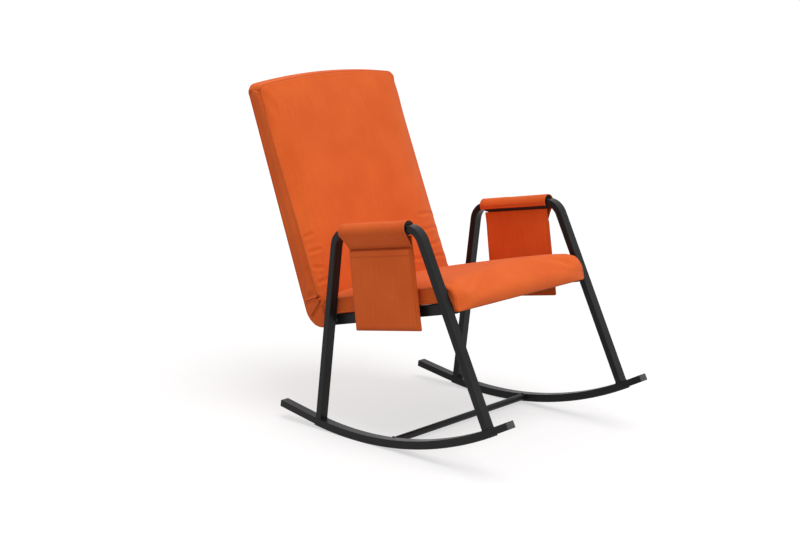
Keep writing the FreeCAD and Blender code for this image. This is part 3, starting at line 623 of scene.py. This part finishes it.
def blow_up(piece, held, pressure, most):
    """Lets the sewn cover swell by cloth simulation: held points stay, and no point moves too far."""
    before = where(piece)
    pins = piece.vertex_groups.new(name="held")
    for weight in np.unique(held):
        pins.add([int(i) for i in np.flatnonzero(held == weight)], float(weight), "REPLACE")
    cloth = piece.modifiers.new("cloth", "CLOTH")
    cloth.settings.vertex_group_mass = "held"
    cloth.settings.use_pressure = True
    cloth.settings.uniform_pressure_force = pressure
    cloth.settings.effector_weights.gravity = 0.0
    cloth.settings.tension_stiffness = 25
    cloth.settings.compression_stiffness = 25
    cloth.settings.shear_stiffness = 8
    cloth.settings.bending_stiffness = 1.5
    cloth.settings.quality = 6
    cloth.point_cache.frame_start = 1
    cloth.point_cache.frame_end = SWELL_FRAMES
    for number in range(1, SWELL_FRAMES + 1):
        scene.frame_set(number)
    settled = piece.evaluated_get(bpy.context.evaluated_depsgraph_get()).data
    after = np.zeros(len(settled.vertices) * 3)
    settled.vertices.foreach_get("co", after)
    moved = after.reshape(-1, 3) - before
    far = np.linalg.norm(moved, axis=1, keepdims=True)
    piece.modifiers.remove(cloth)
    piece.vertex_groups.remove(pins)
    scene.frame_set(1)
    within = moved * np.minimum(1, most / np.maximum(far, 1e-9))
    piece.data.vertices.foreach_set("co", (before + within).ravel())
    piece.data.update()
    print(f"{piece.name} swelled by up to {far.max() * 1000:.1f} mm")


def divide(piece, seams, crispness):
    """One smooth subdivision that keeps the seams more or less crisp."""
    creases = piece.data.attributes.new("crease_edge", "FLOAT", "EDGE")
    pairs = {tuple(sorted(pair)) for seam in seams for pair in zip(seam, seam[1:])}
    sharp = [crispness if tuple(sorted(edge.vertices)) in pairs else 0.0 for edge in piece.data.edges]
    creases.data.foreach_set("value", sharp)
    finer = piece.modifiers.new("finer", "SUBSURF")
    finer.levels = finer.render_levels = 1
    settled = piece.evaluated_get(bpy.context.evaluated_depsgraph_get())
    mesh = bpy.data.meshes.new_from_object(settled)
    piece.modifiers.remove(finer)
    piece.data = mesh


def press(piece, lines, depth, width, roll=0.35, shade=1.0, gather=0.0):
    """Draws the cloth in along lines of points, with a soft roll beside them, and marks painted shade and
    gathered puckers there.
    """
    mesh = piece.data
    points = where(piece)
    normals = np.zeros(len(mesh.vertices) * 3)
    mesh.vertex_normals.foreach_get("vector", normals)
    normals = normals.reshape(-1, 3)
    spots = np.concatenate([finely(line) for line in lines])
    tree = KDTree(len(spots))
    for i, spot in enumerate(spots):
        tree.insert(spot, i)
    tree.balance()
    away = np.array([tree.find(p)[2] for p in points])
    groove = np.exp(-(away / width) ** 2)
    beside = np.exp(-((away - ROLL_AWAY * width) / width) ** 2)
    points += normals * (roll * beside - groove)[:, None] * depth
    mesh.vertices.foreach_set("co", points.ravel())
    # The groove gets painted shade by the shade factor; the gathered mark only drives a bump
    marks = {"painted_shade": shade * groove, "gathered": gather * np.exp(-(away / GATHER_REACH) ** 2)}
    for title, strength in marks.items():
        mark = mesh.attributes.get(title) or mesh.attributes.new(title, "FLOAT", "POINT")
        marked = np.zeros(len(points))
        mark.data.foreach_get("value", marked)
        mark.data.foreach_set("value", np.maximum(marked, strength))
    mesh.update()


def finely(line):
    """The same line with points about 1 mm apart."""
    line = np.asarray(line, float)
    runs = [line[:1]]
    for first, last in zip(line, line[1:]):
        steps = max(1, round(np.linalg.norm(last - first) / 0.001))
        runs.append(first + (last - first) * np.arange(1, steps + 1)[:, None] / steps)
    return np.concatenate(runs)


seat_fullness = 0.75
seat, seat_stations, seat_size, _ = sewn_form(
    "seat_cushion", seat_outline, SEAT_HALF, SEAT_SHOULDER, seat_fullness, panel_bulge=0.0025, tip=-1)
seat_rest = where(seat)
seat_ring = [*range(seat_size), 0]
seat_seams = [seat_ring, [(seat_stations - 1) * seat_size + i for i in seat_ring]]
from_middle = to_level(seat_rest)[:, 1:] - on_seat(0, 0)
above = from_middle @ SEAT_ABOVE
along = from_middle @ SEAT_ALONG
resting = (above < SEAT_BASE + HELD_REACH) & (along > LIP_HELD) | (above < LIP_LOW + HELD_REACH)
seat_held = np.where(resting, 1.0, 0.0)
seat_held[[i for seam in seat_seams for i in seam]] = 1.0
blow_up(seat, seat_held, pressure=4.0, most=0.022)
seat_seam_lines = [where(seat)[seam] for seam in seat_seams]
divide(seat, seat_seams, 0.35)
# The seams are grooved and get painted shade
press(seat, seat_seam_lines, depth=0.0016, width=0.0040, shade=0.6, gather=0.5)
seat.data.materials.append(orange_cloth)
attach(seat, "frame_and_seat")
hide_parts("seat_cover", "seat_foam")

# Back cushion
# A cover pulled down over the back frame like a bag, filled with foam in front of the webbing. Front panel,
# boxing band and rear panel are sewn together, and the cloth is drawn into a crease above the seat.

BACK_TOP = 0.751
TOP_ARCH = 0.020
TOP_SHOULDER = 0.018
TOP_SLOPE = 0.022
TOP_CROWN = 0.018
FRONT_SHOULDER = 0.046
REAR_SHOULDER = 0.004
CREASE_DRAWN_IN = 0.016
BACK_ROUND = 0.012
REAR_LOW_ROUND = 0.045 + BACK_REAR
LEFT_LIFT = 0.005
LIFT_FROM = 0.40
LIFT_REACH = 0.35
FOOT_HELD = 0.060
CORNER_HELD = 0.680
CORNER_FOLDS = (((0.064, 0.000), (0.067, 0.030), (0.061, 0.075)),
                ((0.056, 0.060), (0.034, 0.028), (0.021, 0.008)))
HOLLOW_FORWARD = 0.019
HOLLOW_ENDS = (0.095, 0.690)
WRINKLE_UP = 0.105
WRINKLE_PITCH = 0.046
WRINKLE_SHARES = (1.0, 0.6, 0.8, 0.5)
WRINKLE_STEPS = 12
WRINKLE_INSET = 0.012


def back_outline(depth, fullness):
    """The back's side view at a depth from its sewn side: corners and their roundings."""
    full = swell(depth, FRONT_SHOULDER)
    rear = -BACK_REAR + REAR_SHOULDER * (1 - swell(depth, REAR_SHOULDER))
    aside = 1 - depth / BACK_HALF
    top = BACK_TOP - TOP_ARCH * aside ** 2 - TOP_SHOULDER * (1 - swell(depth, TOP_SHOULDER))
    low, high = back_front_line()
    crease = high - (on_back(0, CREASE_DRAWN_IN * (1 - full)) - on_back(0, 0))
    low_rear = meeting(low, on_seat(SEAT_DEPTH, -BACK_REAR), on_back(0, rear), on_back(1, rear))
    front_top = on_back(top - TOP_SLOPE, BACK_SEAM + TOP_CROWN * full * fullness)
    corners = [on_back(top, rear), front_top, crease, low, low_rear]
    return corners, [BACK_ROUND, BACK_ROUND, BACK_ROUND, TURNED_ROUND, REAR_LOW_ROUND]


back_fullness = 0.8
back, back_stations, back_size, back_middles = sewn_form(
    "back_cushion", back_outline, BACK_HALF, reach=0.050, fullness=back_fullness, panel_bulge=0.002, tip=0)
up_line = np.array(LEANED)[:3, :3] @ np.array([0, *BACK_ALONG])
front_line = np.array(LEANED)[:3, :3] @ np.array([0, *BACK_AHEAD])
back_rest = where(back)
up_back = (back_rest - to_floor([(0, *on_back(0, 0))])) @ up_line
lift = LEFT_LIFT * back_rest[:, 0] / BACK_HALF * np.clip((up_back - LIFT_FROM) / LIFT_REACH, 0, 1)
back_rest += lift[:, None] * up_line
back.data.vertices.foreach_set("co", back_rest.ravel())
back.data.update()
last_station = (back_stations - 1) * back_size
front_top, crease_place, rear_top = back_middles[1], back_middles[2], back_middles[0]
front_sides = [[first + i for i in range(front_top, crease_place + 1)] for first in (0, last_station)]
front_seam = [s * back_size + front_top for s in range(back_stations)]
rear_run = list(range(back_middles[4], back_size)) + list(range(0, rear_top))
rear_seam = rear_run + [s * back_size + rear_top for s in range(back_stations)]
rear_seam += [last_station + i for i in reversed(rear_run)]
crease_line = [s * back_size + crease_place for s in range(back_stations)]
back_seams = [front_seam, rear_seam, *front_sides]
level = to_level(back_rest)
from_corner = level[:, 1:] - on_back(0, 0)
up_back = from_corner @ BACK_ALONG
forward = from_corner @ BACK_AHEAD
back_held = np.where((forward < -BACK_REAR + 0.003) | (up_back < FOOT_HELD), 1.0, 0.0)
back_held[(up_back > CORNER_HELD) & (np.abs(level[:, 0]) > BACK_HALF - 0.001)] = 1.0
back_held[[i for seam in back_seams + [crease_line] for i in seam]] = 1.0
blow_up(back, back_held, pressure=4.0, most=0.026)
back_seam_lines = [where(back)[seam] for seam in back_seams]
divide(back, back_seams, 0.2)
# The front and rear seams are grooved and get painted shade; the side seams only get a groove and puckers
press(back, back_seam_lines[:2], depth=0.0014, width=0.0028, shade=0.8)
press(back, back_seam_lines[2:], depth=0.0008, width=0.0060, roll=0.3, shade=0.0, gather=0.5)

# Folds at the lower rear corners, with painted shade in them, and a hollow along each side between the front
# panel and the frame
for sign in SIDES.values():
    side_x = sign * (BACK_HALF + 0.001)
    folds = [to_floor([(side_x, *on_back(*p)) for p in fold]) for fold in CORNER_FOLDS]
    press(back, folds, depth=0.0055, width=0.0040, roll=0.3)
    hollow = to_floor([(side_x, *on_back(up, HOLLOW_FORWARD)) for up in HOLLOW_ENDS])
    press(back, [hollow], depth=0.0040, width=0.0110, roll=0.4, shade=0.0)

# The cover pulls into shallow wrinkles above the seat, longer on the left than on the right
back_points = where(back)
front_points = back_points[back_points @ front_line > (back_points @ front_line).mean()]
wrinkles = []
for sign in SIDES.values():
    for number, share in enumerate(WRINKLE_SHARES):
        length = share * (0.095 + 0.055 * sign)
        run = np.linspace(0, 1, WRINKLE_STEPS)
        ups = WRINKLE_UP + WRINKLE_PITCH * number + 0.008 * math.cos(2.4 * number) * run
        xs = sign * (BACK_HALF - WRINKLE_INSET - length * run)
        aims = to_floor([(x, *on_back(up, 0.06)) for x, up in zip(xs, ups)])
        gaps = front_points[None] - aims[:, None]
        aside = np.linalg.norm(gaps - (gaps @ front_line)[..., None] * front_line, axis=2)
        wrinkles.append(front_points[aside.argmin(axis=1)])
press(back, wrinkles, depth=0.0016, width=0.0050, roll=0.5, shade=0.0, gather=0.2)
back.data.materials.append(orange_cloth)
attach(back, "frame_and_seat")
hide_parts("back_cover", "back_foam")

# Arm pads
# A black closed-cell foam tube round the straight of each arm, with a bore that fits the box tube. Its ends
# show as dark rings in the sleeve's mouths.

ARM_HEIGHT = 0.610
PAD_RADIUS = 0.0196
PAD_LENGTH = 0.238
PAD_ROUND = 0.002
BORE_ROOM = 0.0003
pad_foam = grained_finish(
    "pad_foam", (0.012, 0.012, 0.012), (0.022, 0.022, 0.022), (0.86, 0.96), 0.0013, 0.03, 0.0005)


def pad_rings(sign):
    """Rings of the foam tube: along its outside, round its ends, and back through the arm's bore."""
    turns = np.linspace(0, 2 * math.pi, 48, endpoint=False)
    circle = np.column_stack([np.cos(turns), np.sin(turns)])
    wide, tall = TUBE_WIDE / 2 + BORE_ROOM, TUBE_DEEP / 2 + BORE_ROOM
    bore = circle / np.maximum(np.abs(circle[:, :1]) / wide, np.abs(circle[:, 1:]) / tall)
    rings = []
    half = PAD_LENGTH / 2
    for along in np.linspace(-half, half, 39):
        past = max(0.0, abs(along) - half + PAD_ROUND)
        rounding = PAD_ROUND - math.sqrt(max(0.0, PAD_ROUND ** 2 - past ** 2))
        rings.append((circle * (PAD_RADIUS - rounding), along))
    rings += [(bore, half), (bore, -half)]
    return [[(sign * SIDE_FRAME_X + p[0], along, ARM_HEIGHT + p[1]) for p in ring] for ring, along in rings]


for side, sign in SIDES.items():
    rings = pad_rings(sign)
    size = len(rings[0])
    points = [p for ring in rings for p in ring]
    faces = []
    for r in range(len(rings)):
        for i in range(size):
            a, b = r * size, (r + 1) % len(rings) * size
            faces.append((a + i, b + i, b + (i + 1) % size, a + (i + 1) % size))
    pad = cloth_mesh(f"{side}_foam_pad", points, faces, [(p[0], p[1]) for p in points])
    pad.data.materials.append(pad_foam)
    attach(pad, "frame_and_seat")
    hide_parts(f"{side}_arm_pad")

# Arm sleeves
# Orange cloth laid over the foam pad, from a hem low on the inner side, over the top and down the outside to
# the pocket that is sewn to it. It is hemmed at both ends and can turn on the pad, and the right one has slid
# back a little.

SLEEVE_BORE = 0.020
CLOTH_THICK = 0.0012
SLEEVE_LENGTH = 0.252
POCKET_SET = 0.0056
POCKET_HALF = 0.120
POCKET_MOUTH = 0.553
SLEEVE_SLID = {"right": 0.006, "left": 0.0}
SLEEVE_START = math.radians(-118)
WRAP_COLUMNS = 60
FLAP_COLUMNS = 16
HEM_WIDE = 0.012
INNER_HEM_WIDE = 0.008
HEM_THICK = 0.0005
CLOTH_LOOSE = 0.0006
sewn_down = ARM_HEIGHT - POCKET_MOUTH - 0.004
sewn_away = math.hypot(POCKET_SET, sewn_down)
SLEEVE_LEAVES = math.pi + math.asin(POCKET_SET / sewn_away) - math.acos(SLEEVE_BORE / sewn_away)
FLAP = math.sqrt(sewn_away ** 2 - SLEEVE_BORE ** 2)


def ripple(along, around, seed):
    """Small soft folds across the cloth, worked out from a few waves."""
    waves = np.zeros(np.broadcast(along, around).shape)
    for n in range(1, 6):
        waves = waves + np.sin(along * 41 * n + around * (0.7 + 0.4 * n) + seed * n * 1.7) / n
    return waves / 2.3


for side, sign in SIDES.items():
    share = np.linspace(-1, 1, 127)[:, None]
    wrapped = np.linspace(SLEEVE_START, SLEEVE_LEAVES, WRAP_COLUMNS)
    around = np.concatenate([wrapped, np.full(FLAP_COLUMNS, SLEEVE_LEAVES)])[None, :]
    down = np.concatenate([np.zeros(WRAP_COLUMNS), np.linspace(0, FLAP, FLAP_COLUMNS + 1)[1:]])[None, :]
    drawn = np.sin(down / FLAP * math.pi / 2)
    half = SLEEVE_LENGTH / 2 + (POCKET_HALF - SLEEVE_LENGTH / 2) * drawn
    along = share * half + SLEEVE_SLID[side] * (1 - drawn)
    from_end = half * (1 - np.abs(share))
    near_end = np.clip(from_end / HEM_WIDE, 0, 1)
    from_start = (around - SLEEVE_START) * SLEEVE_BORE
    loose = CLOTH_LOOSE * (1 + ripple(along, around + down * 40, sign + 2)) * near_end * (1 - drawn ** 4)
    hem = HEM_THICK * (1 - near_end) + HEM_THICK * np.clip(1 - from_start / INNER_HEM_WIDE, 0, 1)
    grids = []
    for thick in (CLOTH_THICK, 0.0):
        radius = SLEEVE_BORE + thick + loose + (hem if thick else 0.0)
        grid = np.zeros((*radius.shape, 3))
        grid[..., 0] = sign * (SIDE_FRAME_X + radius * np.sin(around) + down * np.cos(around))
        grid[..., 1] = along
        grid[..., 2] = ARM_HEIGHT + radius * np.cos(around) - down * np.sin(around)
        grids.append(grid)
    # Painted shade along the hem stitch rows at both ends and at the inner hem
    seams = np.maximum(stitch_shade(from_end - 0.009), stitch_shade(from_start - INNER_HEM_WIDE))
    sleeve = walled_panels(f"{side}_sleeve", [[g[:, ::sign] for g in (*grids, seams)]])
    sleeve.data.materials.append(orange_cloth)
    body = f"{side}_sleeve_and_pocket"
    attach(sleeve, body)
    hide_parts(f"{side}_arm_sleeve")
    outer = to_floor(grids[0].reshape(-1, 3)).reshape(grids[0].shape)
    rows = [outer[5, :], outer[-6, :], outer[:, 5]]
    hems = lumps_along(f"{side}_sleeve_stitches", rows, (0.0030, 0.0027, 0.0007), orange_thread)
    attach(hems, body)

# Pockets
# A flat pocket of the same cloth hangs under each sleeve: a back panel up to the sleeve and a front panel
# with a hemmed mouth, sewn together round the sides and foot. The front stands a little away at the mouth.

POCKET_FOOT = 0.328
POCKET_DEPTH = 0.011
POCKET_ROUND = 0.003
POCKET_SPREAD = 0.0035
POCKET_SWUNG_BACK = 0.0065
POCKET_SEAM = 0.006
MOUTH_SEAM = 0.016
POCKET_TOP = ARM_HEIGHT - math.sqrt((SLEEVE_BORE + CLOTH_THICK) ** 2 - POCKET_SET ** 2) - CONTACT_GAP


def pocket_grid(head, rows):
    """Places along the arm and up, on a panel with round lower corners."""
    up = np.linspace(POCKET_FOOT, head, rows)[:, None]
    side = np.linspace(-1, 1, 121)[None, :]
    low = np.clip((POCKET_FOOT + POCKET_ROUND - up) / POCKET_ROUND, 0, 1)
    half = POCKET_HALF - POCKET_ROUND * (1 - np.sqrt(1 - low ** 2))
    hung = np.clip((POCKET_MOUTH - up) / (POCKET_MOUTH - POCKET_FOOT), 0, 1)
    half = half + POCKET_SPREAD * hung
    return side * half + POCKET_SWUNG_BACK * hung, up + 0 * side, side, half


for side, sign in SIDES.items():
    outer_x = SIDE_FRAME_X - POCKET_SET
    panels = []
    along, up, share, half = pocket_grid(POCKET_TOP, 132)
    hang = np.clip((POCKET_TOP - up) / 0.05, 0, 1)
    sway = 0.0008 * ripple(up * 0.6, along * 20, sign + 5) * hang
    back_panel = [np.stack([sign * (outer_x + sway - inset), along, up], axis=2)
                  for inset in (0.0, CLOTH_THICK)]
    # Painted shade along the side and foot seams of the back panel
    seams = stitch_shade(half * (1 - np.abs(share)) - POCKET_SEAM)
    panels.append([g[:, ::sign] for g in (*back_panel, seams)])
    along, up, share, half = pocket_grid(POCKET_MOUTH, 114)
    from_side = half * (1 - np.abs(share))
    from_rim = np.minimum(from_side, up - POCKET_FOOT)
    rise = np.sqrt(1 - np.clip(1 - from_rim / 0.016, 0, 1) ** 2)
    belly = 1 + 0.10 * np.cos(share * math.pi / 2) * np.sin(math.pi * (up - POCKET_FOOT) / 0.225)
    pleat = 0.0005 * ripple(up * 0.5, along * 30, sign + 9)
    hem = HEM_THICK * np.clip((up - POCKET_MOUTH + 0.018) / 0.002, 0, 1)
    stand = CLOTH_THICK + (POCKET_DEPTH - CLOTH_THICK) * rise * belly + (pleat + hem) * rise
    front_panel = [np.stack([sign * (outer_x + stand - inset), along, up], axis=2)
                   for inset in (0.0, CLOTH_THICK * 0.95)]
    # Painted shade along the rim seams and along the hem stitches below the mouth of the front panel
    seams = np.maximum(stitch_shade(from_rim - POCKET_SEAM), stitch_shade(POCKET_MOUTH - MOUTH_SEAM - up))
    panels.append([g[:, ::sign] for g in (*front_panel, seams)])
    pocket = walled_panels(f"{side}_cloth_pocket", panels)
    pocket.data.materials.append(orange_cloth)
    body = f"{side}_sleeve_and_pocket"
    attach(pocket, body)
    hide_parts(f"{side}_pocket")
    face = to_floor(front_panel[0].reshape(-1, 3)).reshape(front_panel[0].shape)
    rim = np.concatenate([face[-1:2:-1, 3], face[3, 3:-3], face[3:, -4]])
    rows = [rim, face[-3, 3:-3], face[-9, 3:-3]]
    stitches = lumps_along(f"{side}_pocket_stitches", rows, (0.0034, 0.0026, 0.0007), orange_thread)
    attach(stitches, body)

# Studio
# A pale seamless floor under a large soft lamp and an even white surround, seen from the photograph's place.

FLOOR_HALF = 90
PHOTO_WIDTH = 800
FOCAL_PIXELS = 1495.33
SENSOR_WIDTH = 36.0


def seen_rays(tree):
    """1 on rays that show a thing straight, in a gloss or through glass, and 0 on all others."""
    rays = add(tree, "ShaderNodeLightPath")
    seen = add(tree, "ShaderNodeMath", {
        0: rays.outputs["Is Camera Ray"], 1: rays.outputs["Is Glossy Ray"]}, operation="MAXIMUM")
    seen = add(tree, "ShaderNodeMath", {
        0: seen.outputs[0], 1: rays.outputs["Is Transmission Ray"]}, operation="MAXIMUM")
    return seen.outputs[0]


floor_mesh = bpy.data.meshes.new("floor")
floor_corners = [(x * FLOOR_HALF, y * FLOOR_HALF, 0) for x, y in ((-1, -1), (1, -1), (1, 1), (-1, 1))]
floor_mesh.from_pydata(floor_corners, [], [(0, 1, 2, 3)])
floor = bpy.data.objects.new("floor", floor_mesh)
scene.collection.objects.link(floor)
pale, pale_tree, pale_shader = new_finish("pale_floor")
pale_shader.inputs["Base Color"].default_value = (0.44, 0.43, 0.43, 1)
pale_shader.inputs["Roughness"].default_value = 0.9
pale_shader.inputs["Specular IOR Level"].default_value = 0.0
glow = add(pale_tree, "ShaderNodeMath", {0: seen_rays(pale_tree), 1: 0.57}, operation="MULTIPLY")
lit = add(pale_tree, "ShaderNodeEmission", {"Color": (1, 1, 1, 1), "Strength": glow.outputs[0]})
both = add(pale_tree, "ShaderNodeAddShader", {0: pale_shader.outputs[0], 1: lit.outputs[0]})
pale_tree.links.new(both.outputs[0], pale_tree.nodes["Material Output"].inputs["Surface"])
floor_mesh.materials.append(pale)

surround = bpy.data.worlds.new("surround")
scene.world = surround
surround.use_nodes = True
sky_tree = surround.node_tree
brightness = add(sky_tree, "ShaderNodeMapRange", {
    "Value": seen_rays(sky_tree), "To Min": 0.62, "To Max": 1.0})
sky_tree.links.new(brightness.outputs[0], sky_tree.nodes["Background"].inputs["Strength"])
sky_tree.nodes["Background"].inputs["Color"].default_value = (1, 1, 1, 1)

key_lamp = bpy.data.lights.new("key_lamp", "SUN")
key_lamp.energy = 1.7
key_lamp.angle = math.radians(38)
key = bpy.data.objects.new("key_lamp", key_lamp)
key.rotation_euler = Vector((0.05, 0.38, -0.92)).to_track_quat("-Z", "Y").to_euler()
scene.collection.objects.link(key)

lens = bpy.data.cameras.new("camera")
lens.sensor_width = SENSOR_WIDTH
lens.lens = FOCAL_PIXELS * SENSOR_WIDTH / PHOTO_WIDTH
camera = bpy.data.objects.new("camera", lens)
camera.location = (-3.2187, -2.8630, 1.3459)
turn, dip = math.radians(47.232), math.radians(11.669)
aim = Vector((math.sin(turn) * math.cos(dip), math.cos(turn) * math.cos(dip), -math.sin(dip)))
camera.rotation_euler = aim.to_track_quat("-Z", "Y").to_euler()
scene.collection.objects.link(camera)
scene.camera = camera
scene.view_settings.view_transform = "Standard"
